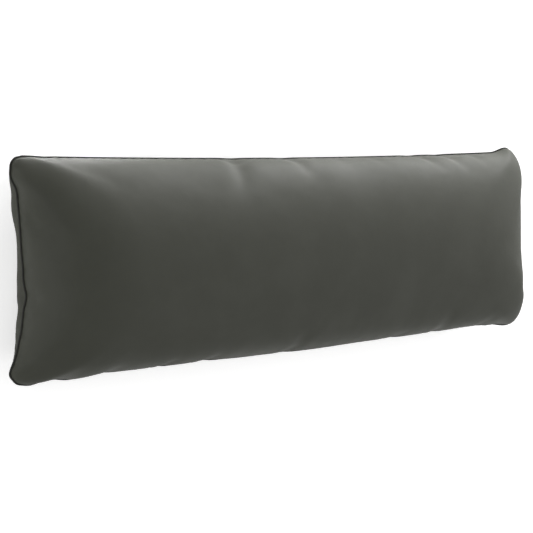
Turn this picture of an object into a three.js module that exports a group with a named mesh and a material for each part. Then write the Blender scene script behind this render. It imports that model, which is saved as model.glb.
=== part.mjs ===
// A long back cushion of smooth faux leather: two panels sewn round a soft fill into one knife-edge seam.
// A thin covered cord is sewn into the seam all the way round. The cushion lies on its back panel.
// X runs along the length, Y points to the edge that is uppermost in use, Z out of the front panel.
// The origin is under the middle of the cushion, on the surface that it lies on. Sizes are in millimetres.

import * as THREE from "three";

// Size of the sewn cover, from ear to ear, and how round the seam turns at its corners.
const SEAM_LENGTH = 1200;
const SEAM_HEIGHT = 389;
const SEAM_CORNER_RADIUS = 20;

// How far each panel stands out from the seam, and how deep the back sinks where it rests.
const FRONT_RISE = 105;
const BACK_RISE = 77;
const RESTING_DEPTH = 68;
const SETTLING = 3;

// The panels' fullness: 2 and 2 would be an ellipse, more is fuller. The third rounds contours off inwards.
const FULLNESS_ACROSS = 2.3;
const FULLNESS_OUT = 2;
const CORNER_ROUNDING = 2.6;

// The seam is drawn in between the corners. The pull dies away up the panel with this power.
const DRAW_FADE = 14;
const EAR_REACH = 42;
const EAR_PINCH = 0.3;

// A tuck is deepest this far up the cloth from the seam.
const TUCK_START = 40;

// Piping: a covered cord, a hair clear of the seam's edge.
const PIPING_RADIUS = 1.6;
const PIPING_SIDES = 6;
const CLEARANCE = 0.3;

// Steps of the mesh along an edge and round a corner, and its contours, as shares of a quarter turn up the
// crown. The wide contours, far from the seam, carry every second step only. Higher contours are shorter, and
// the closing-up power says how near the ends their steps draw together.
const LONG_STEPS = 88;
const END_STEPS = 28;
const CORNER_STEPS = 6;
const FINE_CONTOURS = [0, 0.05, 0.11, 0.175, 0.245, 0.32, 0.4, 0.49, 0.6];
const WIDE_CONTOURS = [0.74, 0.87, 1];
const CLOSING_UP = 1.6;
const PAIRING_DIGITS = 6;

const HALF_LENGTH = SEAM_LENGTH / 2;
const HALF_HEIGHT = SEAM_HEIGHT / 2;

// Each edge steps in beside its ears, over the length of the ramp, and sags a little more towards its middle.
// out is the way it faces.
const EDGES = {
  bottom: { out: [0, -1], step: 9, ramp: 55, sag: -2.5 },
  right: { out: [1, 0], step: 6, ramp: 50, sag: 15 },
  top: { out: [0, 1], step: 7.5, ramp: 45, sag: 9 },
  left: { out: [-1, 0], step: 7.5, ramp: 50, sag: 9.5 },
};

// The corner ears are not quite alike: each is pushed along X and Y, and lifted out of the seam's plane.
const EARS = [
  { x: -1, y: 1, pushX: 2, pushY: -6, lift: 1 },
  { x: -1, y: -1, pushX: -12, pushY: 7, lift: -2 },
  { x: 1, y: 1, pushX: -5, pushY: 2, lift: 4 },
  { x: 1, y: -1, pushX: 8, pushY: 2, lift: -1 },
];

// Tucks gather the cloth at the seam. at is the place along the edge, lean how far the tuck wanders along it
// for each millimetre up the panel, reach how far up it runs, and pull how far it draws the seam itself in.
const FRONT_TUCKS = [
  { edge: "top", at: -158, lean: -0.28, reach: 145, width: 20, depth: 8, pull: 1 },
  { edge: "top", at: -42, lean: 0.2, reach: 100, width: 16, depth: 6, pull: 1 },
  { edge: "top", at: 50, lean: 0.45, reach: 90, width: 18, depth: 2.5, pull: 0 },
  { edge: "top", at: 286, lean: 0.45, reach: 95, width: 17, depth: 6, pull: 1 },
  { edge: "top", at: 369, lean: 0.35, reach: 105, width: 17, depth: 7, pull: 1 },
  { edge: "top", at: 442, lean: 0.3, reach: 90, width: 16, depth: 4, pull: 0 },
  { edge: "bottom", at: -447, lean: 0.2, reach: 70, width: 18, depth: 1.5, pull: 2 },
  { edge: "bottom", at: -246, lean: 0.2, reach: 70, width: 17, depth: 1.5, pull: 3 },
  { edge: "bottom", at: -58, lean: 0.1, reach: 110, width: 16, depth: 3, pull: 1 },
  { edge: "bottom", at: 200, lean: 0.2, reach: 70, width: 17, depth: 1.5, pull: 2 },
  { edge: "bottom", at: 338, lean: -0.1, reach: 130, width: 17, depth: 4.5, pull: 2 },
  { edge: "bottom", at: 450, lean: 0.5, reach: 100, width: 18, depth: 2, pull: 1 },
  { edge: "left", at: -44, lean: -0.1, reach: 90, width: 20, depth: 4, pull: 6 },
  { edge: "left", at: 95, lean: -0.3, reach: 85, width: 18, depth: 4, pull: 0 },
  { edge: "right", at: 70, lean: 0.3, reach: 90, width: 18, depth: 4, pull: 3 },
  { edge: "right", at: -80, lean: -0.3, reach: 100, width: 18, depth: 5, pull: 3 },
];

const BACK_TUCKS = [
  { edge: "top", at: -420, lean: -0.6, reach: 100, width: 17, depth: 5, pull: 0 },
  { edge: "top", at: -230, lean: -0.3, reach: 90, width: 18, depth: 4, pull: 0 },
  { edge: "top", at: 20, lean: 0.2, reach: 110, width: 17, depth: 6, pull: 0 },
  { edge: "top", at: 280, lean: 0.5, reach: 95, width: 17, depth: 5, pull: 0 },
  { edge: "top", at: 450, lean: 0.7, reach: 100, width: 17, depth: 5, pull: 0 },
  { edge: "bottom", at: -380, lean: -0.6, reach: 100, width: 17, depth: 5, pull: 0 },
  { edge: "bottom", at: -120, lean: -0.2, reach: 95, width: 18, depth: 5, pull: 0 },
  { edge: "bottom", at: 130, lean: 0.3, reach: 105, width: 17, depth: 6, pull: 0 },
  { edge: "bottom", at: 390, lean: 0.6, reach: 95, width: 17, depth: 5, pull: 0 },
  { edge: "left", at: -60, lean: -0.3, reach: 85, width: 18, depth: 5, pull: 0 },
  { edge: "right", at: 20, lean: 0.2, reach: 85, width: 18, depth: 5, pull: 0 },
];

// Where the fill is packed harder, it pushes the panel out.
const FRONT_SWELLS = [
  { x: 585, y: -130, radius: 55, push: 8 },
  { x: 570, y: -170, radius: 22, push: 4 },
  { x: 600, y: 160, radius: 45, push: 4 },
  { x: -560, y: 105, radius: 60, push: 3 },
  { x: -480, y: -165, radius: 60, push: 3 },
];

const BACK_SWELLS = [
  { x: -585, y: 105, radius: 40, push: 4 },
  { x: -585, y: -75, radius: 50, push: 4.5 },
  { x: 570, y: 60, radius: 70, push: 3 },
];

// Shallow waves of the seam: out in the seam's plane, and lift out of it.
const SEAM_WAVES = [
  { edge: "top", at: -565, width: 28, out: -3, lift: 0 },
  { edge: "top", at: -330, width: 90, out: 0, lift: 2 },
  { edge: "top", at: 130, width: 70, out: 0, lift: -2 },
  { edge: "bottom", at: -505, width: 24, out: 4.5, lift: 0 },
  { edge: "bottom", at: -180, width: 80, out: 0, lift: -2 },
  { edge: "bottom", at: 20, width: 110, out: 2.5, lift: 0 },
  { edge: "bottom", at: 260, width: 70, out: 0, lift: 2 },
  { edge: "bottom", at: 430, width: 40, out: -1, lift: 0 },
  { edge: "left", at: 150, width: 20, out: 4, lift: 0 },
  { edge: "left", at: 40, width: 60, out: 0, lift: 2 },
  { edge: "left", at: -50, width: 45, out: -1.5, lift: 0 },
  { edge: "left", at: -130, width: 26, out: 5.5, lift: 0 },
  { edge: "right", at: -30, width: 60, out: 0, lift: -2 },
];

function bell(value) {
  return Math.exp(-value * value);
}

function ease(value) {
  const share = THREE.MathUtils.clamp(value, 0, 1);
  return share * share * (3 - 2 * share);
}

// The stations of one turn round the cushion, counter-clockwise from the bottom left corner. spreadX and
// spreadY say where a station lies along the straight stretches, from -1 to 1, and out is the way it faces.
function loopStations() {
  const stations = [];
  const sides = [
    { edge: "bottom", from: [-1, -1], to: [1, -1], steps: LONG_STEPS },
    { edge: "right", from: [1, -1], to: [1, 1], steps: END_STEPS },
    { edge: "top", from: [1, 1], to: [-1, 1], steps: LONG_STEPS },
    { edge: "left", from: [-1, 1], to: [-1, -1], steps: END_STEPS },
  ];
  for (const { edge, from, to, steps } of sides) {
    const [outX, outY] = EDGES[edge].out;
    for (let i = 0; i < steps; i++) {
      const share = i / steps;
      stations.push({
        edge,
        spreadX: THREE.MathUtils.lerp(from[0], to[0], share),
        spreadY: THREE.MathUtils.lerp(from[1], to[1], share),
        outX,
        outY,
      });
    }
    for (let i = 0; i < CORNER_STEPS; i++) {
      const turn = (Math.PI / 2) * (i / CORNER_STEPS);
      stations.push({
        edge: null,
        spreadX: to[0],
        spreadY: to[1],
        outX: outX * Math.cos(turn) - outY * Math.sin(turn),
        outY: outX * Math.sin(turn) + outY * Math.cos(turn),
      });
    }
  }
  return stations;
}

// A station on the contour at a given reach, which is 1 on the seam and 0 on the cushion's middle line.
// Each contour is a rectangle with round corners, rounder the further it lies from the seam. Higher contours
// are shorter, and the stations close up near their ends rather than all along them.
function contourPoint(station, reach) {
  const straight = (HALF_HEIGHT - SEAM_CORNER_RADIUS) * reach ** CORNER_ROUNDING;
  const radius = HALF_HEIGHT * reach - straight;
  const longStraight = HALF_LENGTH - HALF_HEIGHT * (1 - reach) - radius;
  const shortening = HALF_LENGTH - SEAM_CORNER_RADIUS - longStraight;
  const spread = longStraight + shortening * (1 - Math.abs(station.spreadX) ** CLOSING_UP);
  return new THREE.Vector2(
    station.spreadX * spread + station.outX * radius,
    station.spreadY * straight + station.outY * radius,
  );
}

// The place of a point along its own edge.
function alongEdge(edge, point) {
  return EDGES[edge].out[0] === 0 ? point.x : point.y;
}

// How far the seam is pulled off its rectangle at a station, and how far it is lifted out of its own plane.
function seamPull(station) {
  const seam = contourPoint(station, 1);
  const pull = new THREE.Vector3();
  if (station.edge) {
    const { step, ramp, sag } = EDGES[station.edge];
    const half = (station.outX === 0 ? HALF_LENGTH : HALF_HEIGHT) - SEAM_CORNER_RADIUS;
    const place = alongEdge(station.edge, seam);
    let inwards = step * ease((half - Math.abs(place)) / ramp) + sag * (1 - (place / half) ** 2);
    for (const tuck of FRONT_TUCKS) {
      if (tuck.edge === station.edge) inwards += tuck.pull * bell((place - tuck.at) / tuck.width);
    }
    for (const wave of SEAM_WAVES) {
      if (wave.edge !== station.edge) continue;
      const share = bell((place - wave.at) / wave.width);
      inwards -= wave.out * share;
      pull.z += wave.lift * share;
    }
    pull.x -= station.outX * inwards;
    pull.y -= station.outY * inwards;
  }
  for (const ear of EARS) {
    const near = bell(Math.hypot(seam.x - ear.x * HALF_LENGTH, seam.y - ear.y * HALF_HEIGHT) / EAR_REACH);
    pull.add(new THREE.Vector3(ear.pushX, ear.pushY, ear.lift).multiplyScalar(near));
  }
  return pull;
}

// The contours of one panel: each one's reach, its share of the rise, and the way to it over the cloth.
function panelContours(rise) {
  const contours = [];
  let run = 0;
  for (const turn of [...FINE_CONTOURS, ...WIDE_CONTOURS]) {
    const angle = (turn * Math.PI) / 2;
    const reach = Math.max(0, Math.cos(angle)) ** (2 / FULLNESS_ACROSS);
    const share = Math.sin(angle) ** (2 / FULLNESS_OUT);
    const last = contours.at(-1);
    if (last) run += Math.hypot(HALF_HEIGHT * (last.reach - reach), rise * (share - last.share));
    contours.push({ reach: turn === 1 ? 0 : reach, share, run });
  }
  return contours;
}

// Where the two panels meet, at one station.
function seamPoint(station, pull) {
  const place = contourPoint(station, 1);
  return new THREE.Vector3(place.x, place.y, RESTING_DEPTH).add(pull);
}

// How far the fill pushes one point of a panel out, less how deep the tucks press it in.
function clothOffset(face, station, point, run) {
  const tucks = face > 0 ? FRONT_TUCKS : BACK_TUCKS;
  const swells = face > 0 ? FRONT_SWELLS : BACK_SWELLS;
  let offset = 0;
  for (const swell of swells) {
    offset += swell.push * bell(Math.hypot(point.x - swell.x, point.y - swell.y) / swell.radius);
  }
  for (const tuck of tucks) {
    if (tuck.edge !== station.edge) continue;
    const across = (alongEdge(tuck.edge, point) - tuck.at - tuck.lean * run) / tuck.width;
    const along = ease(run / TUCK_START) * (1 - ease((run - TUCK_START) / (tuck.reach - TUCK_START)));
    offset -= tuck.depth * bell(across) * along;
  }
  return offset * ease(run / TUCK_START);
}

// The back panel flattens softly where it meets the surface.
function settled(depth) {
  const past = depth - (RESTING_DEPTH - SETTLING);
  if (past <= 0) return depth;
  if (past >= 2 * SETTLING) return RESTING_DEPTH;
  return depth - (past * past) / (4 * SETTLING);
}

// One point of a panel. face is 1 on the front and -1 on the back.
function panelPoint(face, station, contour, pull) {
  const rise = face > 0 ? FRONT_RISE : BACK_RISE;
  const place = contourPoint(station, contour.reach);
  const held = contour.reach ** DRAW_FADE;
  const corner = Math.hypot(HALF_LENGTH - Math.abs(place.x), HALF_HEIGHT - Math.abs(place.y));
  const height = rise * contour.share * (1 - EAR_PINCH * bell(corner / EAR_REACH));
  const slope = new THREE.Vector2(
    (FULLNESS_ACROSS * contour.reach ** (FULLNESS_ACROSS - 1)) / HALF_HEIGHT,
    (FULLNESS_OUT * contour.share ** (FULLNESS_OUT - 1)) / rise,
  ).normalize();
  const offset = clothOffset(face, station, place, contour.run);
  const level = height + slope.y * offset;
  return new THREE.Vector3(
    place.x + pull.x * held + station.outX * slope.x * offset,
    place.y + pull.y * held + station.outY * slope.x * offset,
    RESTING_DEPTH + pull.z * held + (face > 0 ? level : -settled(level)),
  );
}

function closedGeometry(points, triangles) {
  const geometry = new THREE.BufferGeometry().setFromPoints(points);
  geometry.setIndex(triangles);
  geometry.computeVertexNormals();
  return geometry;
}

// The filled cushion: the seam's contour is shared, and each panel climbs from it to the middle line.
function cushionGeometry(stations, pulls) {
  const points = [];
  const triangles = [];
  const seamIndices = stations.map((station, i) => points.push(seamPoint(station, pulls[i])) - 1);
  for (const face of [1, -1]) {
    const contours = panelContours(face > 0 ? FRONT_RISE : BACK_RISE);
    const addTriangle = (a, b, c) => {
      if (a === b || b === c || c === a) return;
      triangles.push(...(face > 0 ? [a, b, c] : [a, c, b]));
    };
    // Each patch is cut along the diagonal that climbs towards the right, as the tucks do.
    const addPatch = (a, b, c, d) => {
      if (points[c].x - points[a].x > points[d].x - points[b].x) {
        addTriangle(a, b, c);
        addTriangle(a, c, d);
      } else {
        addTriangle(a, b, d);
        addTriangle(b, c, d);
      }
    };
    let outer = seamIndices;
    contours.forEach((contour, level) => {
      if (level === 0) return;
      const wide = level >= FINE_CONTOURS.length;
      const onLine = new Map();
      const inner = [];
      stations.forEach((station, i) => {
        if (wide && i % 2) return;
        // On the middle line, the top and bottom edges' stations meet in pairs.
        const key = contour.reach === 0 ? station.spreadX.toFixed(PAIRING_DIGITS) : i;
        if (!onLine.has(key)) onLine.set(key, points.push(panelPoint(face, station, contour, pulls[i])) - 1);
        inner.push(onLine.get(key));
      });
      const count = inner.length;
      for (let i = 0; i < count; i++) {
        const next = (i + 1) % count;
        if (outer.length === count) {
          addPatch(outer[i], outer[next], inner[next], inner[i]);
        } else {
          const between = outer[2 * i + 1];
          addTriangle(outer[2 * i], between, inner[i]);
          addTriangle(between, outer[2 * next], inner[next]);
          addTriangle(between, inner[next], inner[i]);
        }
      }
      outer = inner;
    });
  }
  return closedGeometry(points, triangles);
}

// The piping: a closed tube whose sections stand at the same stations as the seam.
function pipingGeometry(stations, pulls) {
  const seam = stations.map((station, i) => seamPoint(station, pulls[i]));
  const points = [];
  const triangles = [];
  const up = new THREE.Vector3(0, 0, 1);
  seam.forEach((point, i) => {
    const before = seam.at(i - 1);
    const after = seam[(i + 1) % seam.length];
    const outwards = after.clone().sub(before).cross(up).normalize();
    const middle = point.clone().addScaledVector(outwards, PIPING_RADIUS + CLEARANCE);
    for (let side = 0; side < PIPING_SIDES; side++) {
      const angle = (2 * Math.PI * side) / PIPING_SIDES;
      points.push(
        middle
          .clone()
          .addScaledVector(outwards, PIPING_RADIUS * Math.cos(angle))
          .addScaledVector(up, PIPING_RADIUS * Math.sin(angle)),
      );
    }
  });
  for (let i = 0; i < seam.length; i++) {
    const here = i * PIPING_SIDES;
    const ahead = ((i + 1) % seam.length) * PIPING_SIDES;
    for (let side = 0; side < PIPING_SIDES; side++) {
      const turn = (side + 1) % PIPING_SIDES;
      triangles.push(here + side, ahead + side, ahead + turn);
      triangles.push(here + side, ahead + turn, here + turn);
    }
  }
  return closedGeometry(points, triangles);
}

const stations = loopStations();
const pulls = stations.map(seamPull);

const cover = new THREE.MeshStandardMaterial({ color: 0x2e2f2b, roughness: 0.5, metalness: 0 });
const cushion = new THREE.Mesh(cushionGeometry(stations, pulls), cover);
cushion.name = "cushion";

const cordCover = new THREE.MeshStandardMaterial({ color: 0x1c1d1b, roughness: 0.5, metalness: 0 });
const piping = new THREE.Mesh(pipingGeometry(stations, pulls), cordCover);
piping.name = "piping";

const backCushion = new THREE.Group();
backCushion.add(cushion, piping);

export default backCushion;
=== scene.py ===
import math

import bpy
import numpy as np
from mathutils import Matrix, Vector


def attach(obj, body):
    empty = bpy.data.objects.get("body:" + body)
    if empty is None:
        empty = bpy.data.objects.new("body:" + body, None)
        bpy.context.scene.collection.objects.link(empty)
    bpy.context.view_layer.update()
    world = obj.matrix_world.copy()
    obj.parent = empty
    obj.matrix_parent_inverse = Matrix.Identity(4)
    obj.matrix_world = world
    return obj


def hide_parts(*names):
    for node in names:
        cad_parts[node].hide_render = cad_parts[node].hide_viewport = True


# A long back cushion of smooth dark faux leather with a piped seam, lying on its back panel on a pale floor.
# The frame is the CAD model's, in metres: X along the length, Y to the upper edge, Z out of the front panel.
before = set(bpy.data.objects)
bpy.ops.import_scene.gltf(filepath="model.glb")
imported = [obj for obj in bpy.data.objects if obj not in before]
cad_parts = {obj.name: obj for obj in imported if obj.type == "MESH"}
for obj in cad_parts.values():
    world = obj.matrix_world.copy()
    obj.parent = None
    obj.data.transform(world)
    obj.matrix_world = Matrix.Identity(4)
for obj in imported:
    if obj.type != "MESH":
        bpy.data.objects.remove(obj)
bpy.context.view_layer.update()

scene = bpy.context.scene
scene.view_settings.view_transform = "Standard"

# The camera: the photograph looks at the cushion's face from its left and a little above, with a long lens.
# The cushion lies on its back here, so the camera looks down at it, turned and tilted by the same angles.
CAMERA_LENS = 85
CAMERA_SENSOR = 36
CAMERA_DISTANCE = 2.3997
CAMERA_TARGET = Vector((-0.07784, -0.02447, 0.068))
CAMERA_TURN = 0.6392
CAMERA_TILT = 0.0816
CAMERA_ROLL = -0.0149

forward = Vector(
    (
        math.sin(CAMERA_TURN) * math.cos(CAMERA_TILT),
        -math.sin(CAMERA_TILT),
        -math.cos(CAMERA_TURN) * math.cos(CAMERA_TILT),
    )
)
level = Vector((math.cos(CAMERA_TURN), 0, math.sin(CAMERA_TURN)))
upright = level.cross(forward)
right = level * math.cos(CAMERA_ROLL) + upright * math.sin(CAMERA_ROLL)
upwards = upright * math.cos(CAMERA_ROLL) - level * math.sin(CAMERA_ROLL)
camera_data = bpy.data.cameras.new("camera")
camera_data.lens = CAMERA_LENS
camera_data.sensor_width = CAMERA_SENSOR
camera = bpy.data.objects.new("camera", camera_data)
scene.collection.objects.link(camera)
turn = Matrix((right, upwards, -forward)).transposed().to_4x4()
camera.matrix_world = Matrix.Translation(CAMERA_TARGET - forward * CAMERA_DISTANCE) @ turn
scene.camera = camera

# The floor and the light: a plain pale floor that glows a little, as a lit white table does. The strong lamps
# stand low beyond the upper edge, where the photograph's light comes from, with weak ones all round. Four
# strips hang over the floor along that edge, two of them close to it, so that the floor lights the seam.
FLOOR_SIZE = 60
FLOOR_COLOUR = (0.86, 0.86, 0.86, 1)
FLOOR_ROUGH = 0.9
FLOOR_SHINE = 0.1
FLOOR_GLOW = 0.437
WHITE = (1, 1, 1, 1)
LAMP_DISTANCE = 3.2
# Azimuth runs from X towards Y and elevation up from the floor, both in degrees. Power is in watts.
LAMPS = [
    {"name": "upper_lamp", "azimuth": 90, "elevation": 4, "size": 0.4, "power": 18.3},
    {"name": "corner_lamp", "azimuth": 45, "elevation": 4, "size": 0.4, "power": 52.9},
    {"name": "wide_upper_lamp", "azimuth": 60, "elevation": 12, "size": 1.6, "power": 48.5},
    {"name": "wide_right_lamp", "azimuth": 20, "elevation": 12, "size": 1.6, "power": 11.2},
    {"name": "high_corner_lamp", "azimuth": 45, "elevation": 40, "size": 1.6, "power": 19.2},
    {"name": "high_right_lamp", "azimuth": 0, "elevation": 40, "size": 1.6, "power": 16.9},
    {"name": "wide_left_lamp", "azimuth": 180, "elevation": 12, "size": 1.6, "power": 7},
    {"name": "high_left_lamp", "azimuth": 180, "elevation": 40, "size": 1.6, "power": 21},
    {"name": "high_near_lamp", "azimuth": 225, "elevation": 40, "size": 1.6, "power": 8.9},
    {"name": "high_low_lamp", "azimuth": 315, "elevation": 40, "size": 1.6, "power": 21.5},
]
STRIP_SPREAD = 70
STRIPS = [
    {"name": "edge_strip", "place": (0, 0.55, 0.35), "size": (1.3, 0.3), "power": 2.1},
    {"name": "ear_strip", "place": (-0.4, 0.55, 0.35), "size": (0.5, 0.3), "power": 2.2},
    {"name": "low_edge_strip", "place": (0.12, 0.32, 0.1), "size": (0.9, 0.16), "power": 0.3},
    {"name": "low_ear_strip", "place": (-0.45, 0.32, 0.1), "size": (0.22, 0.16), "power": 0.85},
]

floor_material = bpy.data.materials.new("floor")
floor_material.use_nodes = True
floor_shader = floor_material.node_tree.nodes["Principled BSDF"]
floor_shader.inputs["Base Color"].default_value = FLOOR_COLOUR
floor_shader.inputs["Roughness"].default_value = FLOOR_ROUGH
floor_shader.inputs["Specular IOR Level"].default_value = FLOOR_SHINE
floor_shader.inputs["Emission Color"].default_value = WHITE
floor_shader.inputs["Emission Strength"].default_value = FLOOR_GLOW
floor_corners = [(-1, -1, 0), (1, -1, 0), (1, 1, 0), (-1, 1, 0)]
floor_mesh = bpy.data.meshes.new("floor")
floor_mesh.from_pydata(floor_corners, [], [(0, 1, 2, 3)])
floor_mesh.transform(Matrix.Scale(FLOOR_SIZE / 2, 4))
floor_mesh.materials.append(floor_material)
floor = bpy.data.objects.new("floor", floor_mesh)
scene.collection.objects.link(floor)

# The world gives a weak light from all sides, and is as pale as the distant floor where the camera sees it.
WORLD_LIGHT = 0.284
HORIZON_LIGHT = 0.68

world = bpy.data.worlds.new("studio")
world.use_nodes = True
background = world.node_tree.nodes["Background"]
background.inputs["Color"].default_value = WHITE
light_path = world.node_tree.nodes.new("ShaderNodeLightPath")
sky = world.node_tree.nodes.new("ShaderNodeMix")
sky.inputs["A"].default_value = WORLD_LIGHT
sky.inputs["B"].default_value = HORIZON_LIGHT
world.node_tree.links.new(light_path.outputs["Is Camera Ray"], sky.inputs["Factor"])
world.node_tree.links.new(sky.outputs["Result"], background.inputs["Strength"])
scene.world = world


def new_lamp(name, power, place):
    """An area lamp that the camera doesn't see, which points straight down."""
    light_data = bpy.data.lights.new(name, "AREA")
    light_data.energy = power
    light = bpy.data.objects.new(name, light_data)
    light.location = place
    light.visible_camera = False
    scene.collection.objects.link(light)
    return light, light_data


for lamp in LAMPS:
    azimuth = math.radians(lamp["azimuth"])
    elevation = math.radians(lamp["elevation"])
    place = LAMP_DISTANCE * Vector(
        (
            math.cos(azimuth) * math.cos(elevation),
            math.sin(azimuth) * math.cos(elevation),
            math.sin(elevation),
        )
    )
    # A low lamp's rim stays above the floor.
    place.z = max(place.z, lamp["size"] / 2)
    light, light_data = new_lamp(lamp["name"], lamp["power"], place)
    light_data.shape = "DISK"
    light_data.size = lamp["size"]
    light.rotation_mode = "QUATERNION"
    light.rotation_quaternion = (-place).to_track_quat("-Z", "Y")

for strip in STRIPS:
    _, light_data = new_lamp(strip["name"], strip["power"], strip["place"])
    light_data.shape = "RECTANGLE"
    light_data.size, light_data.size_y = strip["size"]
    light_data.spread = math.radians(STRIP_SPREAD)

# The cushion: two panels of smooth dark faux leather, sewn together along one seam round all four sides and
# packed with soft fill. The seam draws the cloth in and gathers it into tucks along the edges. Sizes are in
# millimetres, and run is the way over the cloth from the seam.
MM = 0.001
HALF_LENGTH = 600
HALF_HEIGHT = 194.5
SEAM_CORNER_RADIUS = 20
FRONT_RISE = 105
BACK_RISE = 77
RESTING_DEPTH = 68
SETTLING = 3
FULLNESS_ACROSS = 2.3
FULLNESS_OUT = 2
CROWN_POINTS = 4001
CORNER_ROUNDING = 2.6
DRAW_FADE = 14
EAR_REACH = 42
EAR_PINCH = 0.3
TUCK_START = 40
CORNER_FACING = math.sqrt(0.5)
SMALLEST = 1e-9
GATHER_SEED = 12
GATHER_WAVES = (80, 200)
GATHER_COUNT = 24
GATHER_DEPTH = 0.35
GATHER_TOP = 9
GATHER_REACH = 34
CORNER_TURN = math.pi / 4 * SEAM_CORNER_RADIUS
HALF_LONG_SIDE = HALF_LENGTH - SEAM_CORNER_RADIUS + CORNER_TURN
HALF_SHORT_SIDE = HALF_HEIGHT - SEAM_CORNER_RADIUS + CORNER_TURN
HALF_ROUND = 2 * (HALF_LONG_SIDE + HALF_SHORT_SIDE)

# Each edge faces its own way, steps in beside its ears over a ramp, and sags further in towards its middle.
EDGES = {
    "bottom": {"out": (0, -1), "step": 8.5, "ramp": 55, "sag": -3.2},
    "right": {"out": (1, 0), "step": 6, "ramp": 50, "sag": 15},
    "top": {"out": (0, 1), "step": 7, "ramp": 45, "sag": 8},
    "left": {"out": (-1, 0), "step": 7.5, "ramp": 50, "sag": 6.9},
}
# Each corner's signs, its push along X and Y, and its lift out of the seam's plane.
EARS = [
    (-1, 1, 1, -4.2, 1),
    (-1, -1, -13, 7.5, -2),
    (1, 1, -5, 2, 4),
    (1, -1, 7.5, 1, -1),
]
# Each tuck's place along the edge, lean along it for each millimetre of run, reach up the cloth, width, depth
# and pull on the seam.
FRONT_TUCKS = {
    "top": [
        (-158, -0.28, 150, 21, 8.4, 1),
        (-40, 0.2, 112, 17, 3.5, 1),
        (55, 0.45, 100, 20, 1.2, 0),
        (143, 0.6, 90, 18, 1.4, 0),
        (291, 0.45, 98, 17, 3.9, 1),
        (367, 0.35, 105, 17, 4, 1),
        (440, 0.3, 90, 17, 2.2, 0),
    ],
    "bottom": [
        (-447, 0.2, 70, 18, 1.5, 2),
        (-331, 0.3, 60, 12, 1.2, 2),
        (-232, 0.2, 70, 17, 1.2, 3),
        (-44, 0.05, 110, 16, 2.6, 1.5),
        (230, 0.2, 70, 17, 1.5, 2),
        (350, -0.1, 130, 18, 3, 2),
        (450, 0.5, 100, 18, 1.6, 1),
    ],
    "left": [(-44, -0.1, 90, 20, 4, 6), (95, -0.3, 85, 18, 4, 0)],
    "right": [(70, 0.3, 90, 18, 4, 3), (-80, -0.3, 100, 18, 5, 3)],
}
BACK_TUCKS = {
    "top": [
        (-420, -0.6, 100, 17, 5, 0),
        (-230, -0.3, 90, 18, 4, 0),
        (20, 0.2, 110, 17, 6, 0),
        (280, 0.5, 95, 17, 5, 0),
        (450, 0.7, 100, 17, 5, 0),
    ],
    "bottom": [
        (-380, -0.6, 100, 17, 5, 0),
        (-120, -0.2, 95, 18, 5, 0),
        (130, 0.3, 105, 17, 6, 0),
        (390, 0.6, 95, 17, 5, 0),
    ],
    "left": [(-60, -0.3, 85, 18, 5, 0)],
    "right": [(20, 0.2, 85, 18, 5, 0)],
}
# Where the fill is packed harder, or softer with a push below nought: place along X and Y, radius and push.
FRONT_SWELLS = [
    (585, -110, 60, 7),
    (570, -170, 22, 3),
    (600, 160, 45, 4),
    (-560, 105, 60, 3),
    (-480, -165, 60, 3),
]
BACK_SWELLS = [(-585, 104, 36, 5.5), (-585, 45, 40, -2), (-585, -68, 50, 4.5), (570, 60, 70, 3)]
# Shallow waves of the seam: place along the edge, width, push out and lift.
SEAM_WAVES = {
    "top": [(-575, 22, -3.2, 0), (-330, 90, 0, 2), (130, 70, 0, -2)],
    "bottom": [
        (-572, 15, 3.4, 0),
        (-505, 24, 4.5, 0),
        (-180, 80, 0, -2),
        (-140, 40, 1, 0),
        (20, 110, 2.5, 0),
        (260, 70, 0, 2),
        (430, 40, -1, 0),
        (483, 14, -1.4, 0),
        (522, 12, 1.8, 0),
    ],
    "left": [(156, 14, 4, 0), (40, 60, 0, 2), (0, 22, -2, 0), (-50, 45, -1.5, 0), (-130, 26, 5.5, 0)],
    "right": [(-30, 60, 0, -2)],
}


def bell(value):
    """A bell curve: 1 at nought, and fading out on both sides of it."""
    return np.exp(-value * value)


def ease(value):
    """A soft step from 0 to 1, as the value goes from 0 to 1."""
    share = np.clip(value, 0, 1)
    return share * share * (3 - 2 * share)


def contour_places(reach, on_long, side, spread):
    """Places on a contour round a panel, and the ways that it faces there.

    The contour's reach is 1 on the seam and 0 in the middle. On_long and side say which of its four sides a
    place is on, and spread runs from -1 to 1 along that side, between the middles of its two corners.
    """
    straight = (HALF_HEIGHT - SEAM_CORNER_RADIUS) * reach**CORNER_ROUNDING
    radius = HALF_HEIGHT * reach - straight
    long_straight = HALF_LENGTH - HALF_HEIGHT * (1 - reach) - radius
    own = np.where(on_long, long_straight, straight)
    other = np.where(on_long, straight, long_straight)
    along = spread * (own + math.pi / 4 * radius)
    angle = np.maximum(np.abs(along) - own, 0) / np.maximum(radius, SMALLEST)
    way = np.sign(along)
    own_place = np.clip(along, -own, own) + way * radius * np.sin(angle)
    other_place = side * (other + radius * np.cos(angle))
    own_out = way * np.sin(angle)
    other_out = side * np.cos(angle)
    x = np.where(on_long, own_place, other_place)
    y = np.where(on_long, other_place, own_place)
    out_x = np.where(on_long, own_out, other_out)
    out_y = np.where(on_long, other_out, own_out)
    return x, y, out_x, out_y


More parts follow.
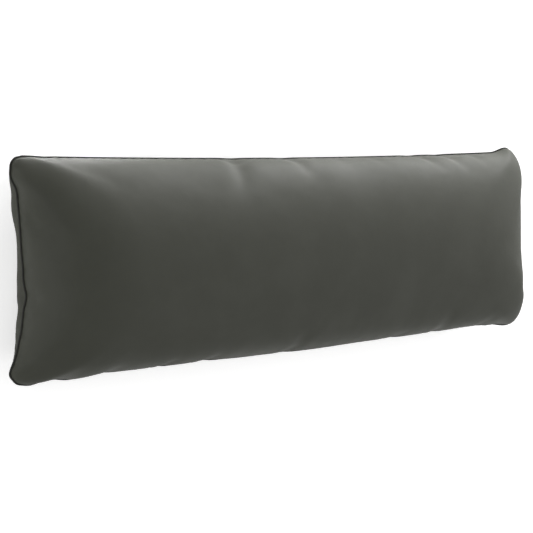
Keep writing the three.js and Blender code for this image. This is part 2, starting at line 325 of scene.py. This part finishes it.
def seam_pull(on_long, side, spread):
    """How far the seam is pulled off its rectangle, and lifted out of its plane, at places along it."""
    x, y, out_x, out_y = contour_places(np.ones_like(spread), on_long, side, spread)
    inwards = np.zeros_like(spread)
    lift = np.zeros_like(spread)
    for edge, sizes in EDGES.items():
        edge_x, edge_y = sizes["out"]
        here = (on_long == (edge_x == 0)) & (side == edge_x + edge_y)
        half = (HALF_LENGTH if edge_x == 0 else HALF_HEIGHT) - SEAM_CORNER_RADIUS
        place = np.clip(x if edge_x == 0 else y, -half, half)
        # Two edges meet in the middle of a corner, so each one's own pull fades out before it.
        beside = ease((out_x * edge_x + out_y * edge_y - CORNER_FACING) / (1 - CORNER_FACING))
        drawn = sizes["step"] * ease((half - np.abs(place)) / sizes["ramp"])
        drawn = drawn + sizes["sag"] * (1 - (place / half) ** 2)
        for at, _lean, _reach, width, _depth, pull in FRONT_TUCKS[edge]:
            drawn = drawn + pull * bell((place - at) / width)
        for at, width, push, rise in SEAM_WAVES[edge]:
            drawn = drawn - push * bell((place - at) / width)
            lift = lift + here * beside * rise * bell((place - at) / width)
        inwards = inwards + here * beside * drawn
    pull_x = -out_x * inwards
    pull_y = -out_y * inwards
    for corner_x, corner_y, push_x, push_y, rise in EARS:
        near = bell(np.hypot(x - corner_x * HALF_LENGTH, y - corner_y * HALF_HEIGHT) / EAR_REACH)
        pull_x = pull_x + push_x * near
        pull_y = pull_y + push_y * near
        lift = lift + rise * near
    return pull_x, pull_y, lift


def seam_places(on_long, side, spread):
    """The way round the seam as an angle, for places on its four sides, each starting where the last ends."""
    on_bottom = HALF_LONG_SIDE * (1 + spread)
    on_right = 2 * HALF_LONG_SIDE + HALF_SHORT_SIDE * (1 + spread)
    on_top = HALF_ROUND + HALF_LONG_SIDE * (1 - spread)
    on_left = HALF_ROUND + 2 * HALF_LONG_SIDE + HALF_SHORT_SIDE * (1 - spread)
    long_place = np.where(side < 0, on_bottom, on_top)
    short_place = np.where(side > 0, on_right, on_left)
    return math.pi * np.where(on_long, long_place, short_place) / HALF_ROUND


def gathers(round_seam, run, face):
    """Small ripples where the seam draws the cloth in, deepest a little way up from it."""
    draw = np.random.default_rng(GATHER_SEED + face)
    waves = draw.integers(*GATHER_WAVES, GATHER_COUNT)
    starts = draw.uniform(0, 2 * math.pi, GATHER_COUNT)
    ripples = np.cos(round_seam[..., None] * waves + starts).sum(axis=-1) / math.sqrt(GATHER_COUNT / 2)
    fading = 1 - ease((run - GATHER_TOP) / (GATHER_REACH - GATHER_TOP))
    return GATHER_DEPTH * ripples * ease(run / GATHER_TOP) * fading


def crown(rise):
    """A panel's section from seam to middle: the contours' reach, their share of the rise, and the run."""
    turns = np.linspace(0, math.pi / 2, CROWN_POINTS)
    reach = np.cos(turns) ** (2 / FULLNESS_ACROSS)
    reach[-1] = 0
    share = np.sin(turns) ** (2 / FULLNESS_OUT)
    steps = np.hypot(HALF_HEIGHT * np.diff(reach), rise * np.diff(share))
    return reach, share, np.concatenate([[0], np.cumsum(steps)])


def tuck_depth(edge_tucks, x, y, out_x, out_y, run):
    """How far the tucks along all four edges press the cloth in."""
    tucked = np.zeros_like(x)
    for edge, tucks in edge_tucks.items():
        edge_x, edge_y = EDGES[edge]["out"]
        facing = ease(2 * (out_x * edge_x + out_y * edge_y) - 1)
        place = x if edge_x == 0 else y
        for at, lean, far, width, depth, _pull in tucks:
            across_tuck = bell((place - at - lean * run) / width)
            fading = 1 - ease((run - TUCK_START) / (far - TUCK_START))
            tucked = tucked + depth * across_tuck * fading * facing
    return tucked


def swell_height(swells, x, y):
    """How far the fill pushes the cloth out where it is packed harder."""
    swollen = np.zeros_like(x)
    for at_x, at_y, radius, push in swells:
        swollen = swollen + push * bell(np.hypot(x - at_x, y - at_y) / radius)
    return swollen


def panel_surface(face, across, up):
    """Places of a panel's cloth, their runs and ways round. Across and up are -1 to 1 between its edges."""
    rise = FRONT_RISE if face > 0 else BACK_RISE
    edge_tucks = FRONT_TUCKS if face > 0 else BACK_TUCKS
    swells = FRONT_SWELLS if face > 0 else BACK_SWELLS
    reaches, shares, runs = crown(rise)
    half_up = runs[-1]
    half_across = half_up + HALF_LENGTH - HALF_HEIGHT
    # Each place belongs to the side whose seam is nearest over the cloth.
    from_ends = half_across * (1 - np.abs(across))
    from_edges = half_up * (1 - np.abs(up))
    on_long = from_edges <= from_ends
    run = np.where(on_long, from_edges, from_ends)
    own_half = np.where(on_long, half_across, half_up)
    own = np.where(on_long, across * half_across, up * half_up)
    spread = np.clip(own / np.maximum(own_half - run, SMALLEST), -1, 1)
    side = np.where(on_long, np.sign(up), np.sign(across))
    reach = np.interp(run, runs, reaches)
    share = np.interp(run, runs, shares)
    x, y, out_x, out_y = contour_places(reach, on_long, side, spread)
    pull_x, pull_y, lift = seam_pull(on_long, side, spread)
    # The seam draws in only the cloth beside it, and pinches the crown down into the ears.
    held = reach**DRAW_FADE
    corner = np.hypot(HALF_LENGTH - np.abs(x), HALF_HEIGHT - np.abs(y))
    height = rise * share * (1 - EAR_PINCH * bell(corner / EAR_REACH))
    # Tucks, swells and gathers go straight in or out of the cloth, along the way that the section faces.
    slope_out = FULLNESS_ACROSS * reach ** (FULLNESS_ACROSS - 1) / HALF_HEIGHT
    slope_up = FULLNESS_OUT * share ** (FULLNESS_OUT - 1) / rise
    length = np.hypot(slope_out, slope_up)
    slope_out, slope_up = slope_out / length, slope_up / length
    tucked = tuck_depth(edge_tucks, x, y, out_x, out_y, run)
    swollen = swell_height(swells, x, y)
    offset = (swollen - tucked * ease(run / TUCK_START)) * ease(run / TUCK_START)
    round_seam = seam_places(on_long, side, spread)
    offset = offset + gathers(round_seam, run, face)
    points = np.stack(
        [
            x + pull_x * held + out_x * slope_out * offset,
            y + pull_y * held + out_y * slope_out * offset,
            lift * held + face * (height + slope_up * offset),
        ],
        axis=-1,
    )
    return points, run, round_seam


def settled(points):
    """Lifts the cushion onto the floor. Its back nears the floor along a soft curve and then lies flat."""
    past = -points[..., 2] - (RESTING_DEPTH - SETTLING)
    eased = np.where(past < 2 * SETTLING, past - past * past / (4 * SETTLING), SETTLING)
    points[..., 2] += np.where(past > 0, past - eased, 0) + RESTING_DEPTH
    return points


def joined_panels(columns, rows):
    """Indices of both panels' vertices, which share those along the seam, and the quads between them."""
    front = np.arange(columns * rows).reshape(columns, rows)
    back = front.copy()
    inner = (columns - 2) * (rows - 2)
    back[1:-1, 1:-1] = np.arange(inner).reshape(columns - 2, rows - 2) + columns * rows
    quads = []
    for face, index in ((1, front), (-1, back)):
        corners = [index[:-1, :-1], index[1:, :-1], index[1:, 1:], index[:-1, 1:]]
        if face < 0:
            corners.reverse()
        quads.append(np.stack(corners, axis=-1).reshape(-1, 4))
    return front, back, np.concatenate(quads)


def built_cover(lines_across, lines_up):
    """The whole cover on a grid of lines: places, runs from the seam, ways round it, indices and quads."""
    across, up = np.meshgrid(lines_across, lines_up, indexing="ij")
    front, back, quads = joined_panels(len(lines_across), len(lines_up))
    count = back[-2, -2] + 1
    places = np.zeros((count, 3))
    runs = np.zeros(count)
    ways_round = np.zeros(count)
    for face, index in ((-1, back), (1, front)):
        places[index], runs[index], ways_round[index] = panel_surface(face, across, up)
    return places, runs, ways_round, front, back, quads


def grid_lines(half, step, seam_lines):
    """The mesh's lines across a panel, from -1 to 1: even steps, with closer lines beside the seam."""
    count = round((half - seam_lines[-1]) / step)
    middle = np.linspace(seam_lines[-1], half, count + 1)
    runs = np.concatenate([seam_lines[:-1], middle])
    places = runs / half - 1
    return np.concatenate([places, -places[-2::-1]])


FINE_STEP = 4
SEAM_LINES = np.array([0, 0.7, 1.6, 2.8, 4.4, 6.6, 9.6, 13.2])

half_up = crown(FRONT_RISE)[2][-1]
half_across = half_up + HALF_LENGTH - HALF_HEIGHT
lines_across = grid_lines(half_across, FINE_STEP, SEAM_LINES)
lines_up = grid_lines(half_up, FINE_STEP, SEAM_LINES)
points, runs, ways_round, front, back, quads = built_cover(lines_across, lines_up)

# The cloth's own small folds: Blender's Cloth blows the cover up on an even grid, held along its seam. The
# panels are already full, so the shape that it swells to is left out, and only its fine folds are kept.
CLOTH_STEP = 6
CLOTH_FRAMES = 20
CLOTH_QUALITY = 5
CLOTH_STIFFNESS = 15
CLOTH_SHEAR = 5
CLOTH_BENDING = 2
CLOTH_PRESSURE = 4
CLOTH_GROWTH = 0.005
FINEST_FOLD = 5
WIDEST_FOLD = 22
FOLD_LIMIT = 2.5
FOLD_SHARE = 0.35
FOLD_START = 12
FOLD_FADE = (70, 150)
MIDDLE_SHARE = 0.12


def blown_up(places, quads, seam):
    """How far each vertex of the cover moves when it is blown up, with the vertices on the seam held."""
    mesh = bpy.data.meshes.new("blown_cover")
    mesh.from_pydata(places * MM, [], quads.tolist())
    blown = bpy.data.objects.new("blown_cover", mesh)
    scene.collection.objects.link(blown)
    blown.vertex_groups.new(name="seam").add(seam.tolist(), 1, "REPLACE")
    cloth = blown.modifiers.new("cloth", "CLOTH")
    cloth.collision_settings.use_collision = False
    cloth.point_cache.frame_start = 1
    cloth.point_cache.frame_end = CLOTH_FRAMES
    cloth.settings.quality = CLOTH_QUALITY
    cloth.settings.vertex_group_mass = "seam"
    cloth.settings.tension_stiffness = CLOTH_STIFFNESS
    cloth.settings.compression_stiffness = CLOTH_STIFFNESS
    cloth.settings.shear_stiffness = CLOTH_SHEAR
    cloth.settings.bending_stiffness = CLOTH_BENDING
    cloth.settings.use_pressure = True
    cloth.settings.uniform_pressure_force = CLOTH_PRESSURE
    cloth.settings.shrink_min = -CLOTH_GROWTH
    cloth.settings.effector_weights.gravity = 0
    for number in range(1, CLOTH_FRAMES + 1):
        scene.frame_set(number)
    swollen = blown.evaluated_get(bpy.context.evaluated_depsgraph_get())
    moved = np.zeros(places.size, dtype=np.float32)
    swollen.data.vertices.foreach_get("co", moved)
    bpy.data.objects.remove(blown)
    bpy.data.meshes.remove(mesh)
    scene.frame_set(1)
    return moved.reshape(-1, 3) / MM - places


def averaging(at, lines, width):
    """Weights that average values on even lines over a width, at other places between the lines."""
    weights = np.exp(-0.5 * ((at[:, None] - lines[None, :]) / width) ** 2)
    return weights / weights.sum(axis=1, keepdims=True)


even_across = np.linspace(-1, 1, round(2 * half_across / CLOTH_STEP) + 1)
even_up = np.linspace(-1, 1, round(2 * half_up / CLOTH_STEP) + 1)
even_places, _, _, even_front, even_back, even_quads = built_cover(even_across, even_up)
moves = blown_up(even_places, even_quads, np.intersect1d(even_front, even_back))
for even_index, index in ((even_back, back), (even_front, front)):
    folds = np.zeros(index.shape + (3,))
    for width, sign in ((FINEST_FOLD, 1), (WIDEST_FOLD, -1)):
        across_weights = averaging(lines_across, even_across, width / half_across)
        up_weights = averaging(lines_up, even_up, width / half_up)
        folds += sign * np.einsum(
            "ij,jkc,lk->ilc", across_weights, moves[even_index], up_weights, optimize=True
        )
    size = np.linalg.norm(folds, axis=-1, keepdims=True)
    inner = ease((runs[index] - FOLD_FADE[0]) / (FOLD_FADE[1] - FOLD_FADE[0]))
    share = FOLD_SHARE * ease(runs[index] / FOLD_START) * (1 - (1 - MIDDLE_SHARE) * inner)
    points[index] += share[..., None] * folds * FOLD_LIMIT / np.hypot(FOLD_LIMIT, size)

points = settled(points)
cushion_mesh = bpy.data.meshes.new("cushion_cover")
cushion_mesh.from_pydata(points * MM, [], quads.tolist())
cushion_mesh.shade_smooth()
cushion = bpy.data.objects.new("cushion_cover", cushion_mesh)
scene.collection.objects.link(cushion)


def mark_ways(mesh, ways_round, runs):
    """Marks each vertex with its place on an even ring round the seam and with its run, in metres."""
    ring = MM * HALF_ROUND / math.pi
    marks = np.stack([ring * np.cos(ways_round), ring * np.sin(ways_round), runs * MM], axis=-1)
    attribute = mesh.attributes.new("round_seam", "FLOAT_VECTOR", "POINT")
    attribute.data.foreach_set("vector", marks.astype(np.float32).ravel())


mark_ways(cushion_mesh, ways_round, runs)

# The cover's faux leather: a dark olive grey coat with a fine pebbled grain, a little uneven in colour and
# gloss where hands polish it, finely crinkled and duller beside the seam, and with painted shade darkening
# the joint beside the piping.
COVER_DARK = (0.0258, 0.0277, 0.0178, 1)
COVER_LIGHT = (0.0272, 0.0292, 0.0188, 1)
# Painted shade: the darker colour given to the joint beside the piping, in place of the groove's shadow.
COVER_JOINT_SHADE = (0.0180, 0.0192, 0.0130, 1)
COVER_ROUGH = 0.68
COVER_POLISHED = 0.63
COVER_GRAIN = 0.0013
COVER_LINES = 0.25
GRAIN_DEPTH = 0.05
UNEVEN_SCALE = 40
UNEVEN_DETAIL = 2
UNEVEN_DEPTH = 0.35
CRINKLE_SCALE = 170
CRINKLE_DETAIL = 2
CRINKLE_STRETCH = 0.3
CRINKLE_DEPTH = 0.22
CRINKLE_REACH = 0.03
JOINT_SHADE_WIDTH = 0.0015
DULL_SHARE = 0.1
DULL_REACH = 0.05
COVER_PATCH = 0.11


def add_node(tree, kind, sockets, **settings):
    """Adds a node. Each named or numbered socket gets a value, or is linked where it is given an output."""
    made = tree.nodes.new(kind)
    for name, value in settings.items():
        setattr(made, name, value)
    for name, value in sockets.items():
        if isinstance(value, bpy.types.NodeSocket):
            tree.links.new(value, made.inputs[name])
        else:
            made.inputs[name].default_value = value
    return made


def sum_of(tree, *values):
    """Adds values up, through as many Math nodes as they need."""
    total = values[0]
    for value in values[1:]:
        total = add_node(tree, "ShaderNodeMath", {0: total, 1: value}, operation="ADD").outputs[0]
    return total


def product_of(tree, *values):
    """Multiplies values, through as many Math nodes as they need."""
    total = values[0]
    for value in values[1:]:
        total = add_node(tree, "ShaderNodeMath", {0: total, 1: value}, operation="MULTIPLY").outputs[0]
    return total


def new_group(name, inputs, output):
    """A node group with named inputs and one named output. Gives the group and its inputs."""
    group = bpy.data.node_groups.new(name, "ShaderNodeTree")
    for label, kind in inputs.items():
        group.interface.new_socket(label, in_out="INPUT", socket_type=kind)
    group.interface.new_socket(output, in_out="OUTPUT", socket_type="NodeSocketFloat")
    return group, group.nodes.new("NodeGroupInput").outputs


def close_group(group, value):
    """Joins a value to the group's output."""
    group.links.new(value, group.nodes.new("NodeGroupOutput").inputs[0])


# Leather grain: pebbles of one size with softly sunk lines between them, and a finer tooth over them.
BEND_DETAIL = 1
TOOTH_FINENESS = 3
TOOTH_DETAIL = 2
TOOTH_SHARE = 0.3

leather_grain, given = new_group(
    "leather_grain",
    {"Place": "NodeSocketVector", "Cell size": "NodeSocketFloat", "Line width": "NodeSocketFloat"},
    "Height",
)
cells = add_node(leather_grain, "ShaderNodeMath", {0: 1, 1: given["Cell size"]}, operation="DIVIDE")
bends = add_node(
    leather_grain,
    "ShaderNodeTexNoise",
    {"Vector": given["Place"], "Scale": cells.outputs[0], "Detail": BEND_DETAIL},
)
shift = add_node(
    leather_grain,
    "ShaderNodeVectorMath",
    {0: bends.outputs["Color"], "Scale": given["Cell size"]},
    operation="SCALE",
)
bent = add_node(
    leather_grain, "ShaderNodeVectorMath", {0: given["Place"], 1: shift.outputs[0]}, operation="ADD"
)
pebbles = add_node(
    leather_grain,
    "ShaderNodeTexVoronoi",
    {"Vector": bent.outputs[0], "Scale": cells.outputs[0]},
    feature="DISTANCE_TO_EDGE",
)
domes = add_node(
    leather_grain,
    "ShaderNodeMapRange",
    {"Value": pebbles.outputs["Distance"], "From Max": given["Line width"]},
    interpolation_type="SMOOTHSTEP",
)
tooth_cells = product_of(leather_grain, cells.outputs[0], TOOTH_FINENESS)
tooth = add_node(
    leather_grain,
    "ShaderNodeTexNoise",
    {"Vector": given["Place"], "Scale": tooth_cells, "Detail": TOOTH_DETAIL},
)
tooth_height = product_of(leather_grain, tooth.outputs["Fac"], TOOTH_SHARE)
close_group(leather_grain, sum_of(leather_grain, domes.outputs[0], tooth_height))

# Handling wear: soft patches, from 0 where the finish is as new to 1 where hands have polished it.
CLOUD_DETAIL = 4
CLOUD_ROUGHNESS = 0.6
WORN_FROM = 0.35
WORN_TO = 0.65

handling_wear, given = new_group(
    "handling_wear", {"Place": "NodeSocketVector", "Patch size": "NodeSocketFloat"}, "Polish"
)
patches = add_node(handling_wear, "ShaderNodeMath", {0: 1, 1: given["Patch size"]}, operation="DIVIDE")
cloud = add_node(
    handling_wear,
    "ShaderNodeTexNoise",
    {
        "Vector": given["Place"],
        "Scale": patches.outputs[0],
        "Detail": CLOUD_DETAIL,
        "Roughness": CLOUD_ROUGHNESS,
    },
)
polish = add_node(
    handling_wear,
    "ShaderNodeMapRange",
    {"Value": cloud.outputs["Fac"], "From Min": WORN_FROM, "From Max": WORN_TO},
    interpolation_type="SMOOTHSTEP",
)
close_group(handling_wear, polish.outputs[0])


def new_finish(name):
    """A material with its tree, its shader, the place on the object and the place round the seam."""
    material = bpy.data.materials.new(name)
    material.use_nodes = True
    tree = material.node_tree
    place = tree.nodes.new("ShaderNodeTexCoord").outputs["Object"]
    round_seam = add_node(tree, "ShaderNodeAttribute", {}, attribute_name="round_seam").outputs["Vector"]
    return material, tree, tree.nodes["Principled BSDF"], place, round_seam


def stretched(tree, vector, factors):
    """A vector with each of its parts multiplied by its own factor."""
    return add_node(tree, "ShaderNodeVectorMath", {0: vector, 1: factors}, operation="MULTIPLY").outputs[0]


def add_noise(tree, vector, scale, detail):
    """Soft noise over a vector, as a value between 0 and 1."""
    return add_node(
        tree, "ShaderNodeTexNoise", {"Vector": vector, "Scale": scale, "Detail": detail}
    ).outputs["Fac"]


def ranged(tree, value, first, last, low, high):
    """A value between first and last as one between low and high, held at both ends."""
    sockets = {"Value": value, "From Min": first, "From Max": last, "To Min": low, "To Max": high}
    return add_node(tree, "ShaderNodeMapRange", sockets).outputs[0]


def blended(tree, factor, first, second):
    """A colour between two others. The Mix node's colour sockets are reached by number, as names repeat."""
    sockets = {"Factor": factor, 6: first, 7: second}
    return add_node(tree, "ShaderNodeMix", sockets, data_type="RGBA").outputs[2]


def placed_group(tree, group, sockets):
    """A shared group placed in a material, with the material's own values. Gives the group's output."""
    return add_node(tree, "ShaderNodeGroup", sockets, node_tree=group).outputs[0]


faux_leather, tree, shader, place, round_seam = new_finish("faux_leather")
polish = placed_group(tree, handling_wear, {"Place": place, "Patch size": COVER_PATCH})
grain = placed_group(
    tree, leather_grain, {"Place": place, "Cell size": COVER_GRAIN, "Line width": COVER_LINES}
)
uneven = add_noise(tree, place, UNEVEN_SCALE, UNEVEN_DETAIL)
crinkle_place = stretched(tree, round_seam, (1, 1, CRINKLE_STRETCH))
crinkles = add_noise(tree, crinkle_place, CRINKLE_SCALE, CRINKLE_DETAIL)
from_seam = add_node(tree, "ShaderNodeSeparateXYZ", {0: round_seam}).outputs[2]
near_seam = ranged(tree, from_seam, 0, CRINKLE_REACH, CRINKLE_DEPTH, 0)
height = sum_of(
    tree,
    product_of(tree, grain, GRAIN_DEPTH),
    product_of(tree, uneven, UNEVEN_DEPTH),
    product_of(tree, crinkles, near_seam),
)
bump = add_node(tree, "ShaderNodeBump", {"Height": height, "Distance": MM})
# Painted shade: the cover's colour darkens over its last millimetre and a half towards the seam, standing in
# for the groove's shadow beside the piping.
painted_joint_shade = ranged(tree, from_seam, 0, JOINT_SHADE_WIDTH, 1, 0)
colour = blended(tree, painted_joint_shade, blended(tree, polish, COVER_DARK, COVER_LIGHT), COVER_JOINT_SHADE)
tree.links.new(colour, shader.inputs["Base Color"])
polished = ranged(tree, polish, 0, 1, COVER_ROUGH, COVER_POLISHED)
dull = ranged(tree, from_seam, 0, DULL_REACH, DULL_SHARE, 0)
tree.links.new(sum_of(tree, polished, dull), shader.inputs["Roughness"])
tree.links.new(bump.outputs[0], shader.inputs["Normal"])
cushion_mesh.materials.append(faux_leather)
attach(cushion, "root")
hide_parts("cushion")

# The piping: a thin cord wrapped in a strip of near-black faux leather and caught in the seam, all the way
# round, so that it stands out between the two panels.
PIPING_RADIUS = 1.9
PIPING_SUNK = 0.9
PIPING_STEP = 2
PIPING_SIDES = 12
THICKENING = 0.04
THICK_WAVES = (60, 260)
THICK_COUNT = 12
PIPING_SEED = 5
PIPING_DARK = (0.0275, 0.0283, 0.0252, 1)
PIPING_LIGHT = (0.0330, 0.0339, 0.0305, 1)
PIPING_ROUGH = 0.82
PIPING_POLISHED = 0.70
PIPING_SHINE = 0.12
PIPING_GRAIN = 0.0009
PIPING_LINES = 0.3
PIPING_PATCH = 0.03
WRAP_SCALE = 260
WRAP_DETAIL = 1
WRAP_STRETCH = 0.35
WRAP_DEPTH = 0.12

sides = []
ways = []
for on_long, side, way in ((True, -1, 1), (False, 1, 1), (True, 1, -1), (False, -1, -1)):
    steps = round(2 * (HALF_LONG_SIDE if on_long else HALF_SHORT_SIDE) / PIPING_STEP)
    spread = way * (2 * np.arange(steps) / steps - 1)
    long_here = np.full(steps, on_long)
    side_here = np.full(steps, side)
    x, y, _, _ = contour_places(np.ones(steps), long_here, side_here, spread)
    pull_x, pull_y, lift = seam_pull(long_here, side_here, spread)
    sides.append(np.stack([x + pull_x, y + pull_y, lift + RESTING_DEPTH], axis=-1))
    ways.append(seam_places(long_here, side_here, spread))
seam_line = np.concatenate(sides)
ways = np.concatenate(ways)
count = len(seam_line)
ahead = np.roll(seam_line, -1, axis=0) - np.roll(seam_line, 1, axis=0)
outwards = np.stack([ahead[:, 1], -ahead[:, 0], np.zeros(count)], axis=-1)
outwards /= np.linalg.norm(outwards, axis=1)[:, None]
middle = seam_line + outwards * (PIPING_RADIUS - PIPING_SUNK)
draw = np.random.default_rng(PIPING_SEED)
thick_waves = draw.integers(*THICK_WAVES, THICK_COUNT)
thick_starts = draw.uniform(0, 2 * math.pi, THICK_COUNT)
thick = np.cos(ways[:, None] * thick_waves + thick_starts).sum(axis=1) / THICK_COUNT
radius = PIPING_RADIUS * (1 - THICKENING + THICKENING * thick)
angles = 2 * math.pi * np.arange(PIPING_SIDES) / PIPING_SIDES
# A ring of vertices stands round each place on the cord's middle line.
piping_points = (
    middle[:, None]
    + (radius[:, None] * np.cos(angles))[..., None] * outwards[:, None]
    + (radius[:, None] * np.sin(angles))[..., None] * np.array([0, 0, 1])
)
rings = np.arange(count * PIPING_SIDES).reshape(count, PIPING_SIDES)
next_rings = np.roll(rings, -1, axis=0)
piping_quads = [rings, next_rings, np.roll(next_rings, -1, axis=1), np.roll(rings, -1, axis=1)]
piping_quads = np.stack(piping_quads, axis=-1).reshape(-1, 4)
piping_mesh = bpy.data.meshes.new("piping_cord")
piping_mesh.from_pydata(piping_points.reshape(-1, 3) * MM, [], piping_quads.tolist())
piping_mesh.shade_smooth()
round_cord = np.tile(PIPING_RADIUS * np.abs(angles - math.pi), count)
mark_ways(piping_mesh, np.repeat(ways, PIPING_SIDES), round_cord)
piping = bpy.data.objects.new("piping_cord", piping_mesh)
scene.collection.objects.link(piping)

cord_cover, tree, shader, place, round_seam = new_finish("cord_cover")
polish = placed_group(tree, handling_wear, {"Place": place, "Patch size": PIPING_PATCH})
grain = placed_group(
    tree, leather_grain, {"Place": place, "Cell size": PIPING_GRAIN, "Line width": PIPING_LINES}
)
wrap_place = stretched(tree, round_seam, (1, 1, WRAP_STRETCH))
wraps = add_noise(tree, wrap_place, WRAP_SCALE, WRAP_DETAIL)
height = sum_of(tree, product_of(tree, grain, GRAIN_DEPTH), product_of(tree, wraps, WRAP_DEPTH))
bump = add_node(tree, "ShaderNodeBump", {"Height": height, "Distance": MM})
tree.links.new(blended(tree, polish, PIPING_DARK, PIPING_LIGHT), shader.inputs["Base Color"])
tree.links.new(ranged(tree, polish, 0, 1, PIPING_ROUGH, PIPING_POLISHED), shader.inputs["Roughness"])
tree.links.new(bump.outputs[0], shader.inputs["Normal"])
shader.inputs["Specular IOR Level"].default_value = PIPING_SHINE
piping_mesh.materials.append(cord_cover)
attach(piping, "root")
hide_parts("piping")
